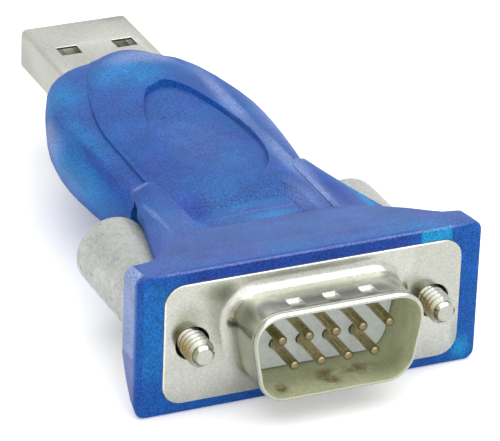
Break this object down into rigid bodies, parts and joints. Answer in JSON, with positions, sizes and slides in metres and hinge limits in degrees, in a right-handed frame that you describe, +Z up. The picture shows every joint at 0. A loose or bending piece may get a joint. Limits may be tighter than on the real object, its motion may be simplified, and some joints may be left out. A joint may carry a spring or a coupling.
{
  "type": "usb to serial adapter",
  "caption": "Translucent blue adapter with a USB plug at one end, a serial plug at the other and two clear thumbscrews.",
  "frame": {"origin": "middle of the whole adapter in plan, on the surface that its flange stands on", "axes": "+X across the adapter, +Y from the serial pins towards the USB plug, +Z up towards the cover"},
  "size_m": [0.0346, 0.0672, 0.015],
  "materials": {
    "translucent_blue": "translucent, finely frosted",
    "nickel_plate": "satin nickel",
    "gold_plate": "gold flash",
    "pale_plastic": "matte",
    "frosted_clear": "frosted clear",
    "board_green": "lacquered",
    "chip_black": "matte",
    "ceramic_tan": "matte"
  },
  "bodies": {
    "adapter": {"main_housing": "translucent_blue", "top_cover": "translucent_blue", "usb_plug_shell": "nickel_plate", "serial_front_shell": "nickel_plate", "serial_rear_shell": "nickel_plate", "crystal": "nickel_plate", "usb_insulator": "pale_plastic", "serial_insulator": "pale_plastic", "circuit_board": "board_green", "usb_interface_chip": "chip_black", "line_driver_chip": "chip_black", "serial_pin_1": "gold_plate", "serial_pin_2": "gold_plate", "serial_pin_3": "gold_plate", "serial_pin_4": "gold_plate", "serial_pin_5": "gold_plate", "serial_pin_6": "gold_plate", "serial_pin_7": "gold_plate", "serial_pin_8": "gold_plate", "serial_pin_9": "gold_plate", "usb_contact_1": "gold_plate", "usb_contact_2": "gold_plate", "usb_contact_3": "gold_plate", "usb_contact_4": "gold_plate", "capacitor_1": "ceramic_tan", "capacitor_2": "ceramic_tan", "capacitor_3": "ceramic_tan", "capacitor_4": "ceramic_tan", "resistor_1": "chip_black", "resistor_2": "chip_black"},
    "thumbscrew_left": {"thumbscrew_knob_left": "frosted_clear", "thumbscrew_screw_left": "nickel_plate"},
    "thumbscrew_right": {"thumbscrew_knob_right": "frosted_clear", "thumbscrew_screw_right": "nickel_plate"}
  },
  "joints": [
    {"name": "left_thumbscrew_turn", "type": "hinge", "parent": "adapter", "child": "thumbscrew_left", "pos_m": [-0.0125, -0.01565, 0.0074], "axis": [0, 1, 0], "continuous": true},
    {"name": "right_thumbscrew_turn", "type": "hinge", "parent": "adapter", "child": "thumbscrew_right", "pos_m": [0.0125, -0.01565, 0.0074], "axis": [0, 1, 0], "continuous": true}
  ]
}
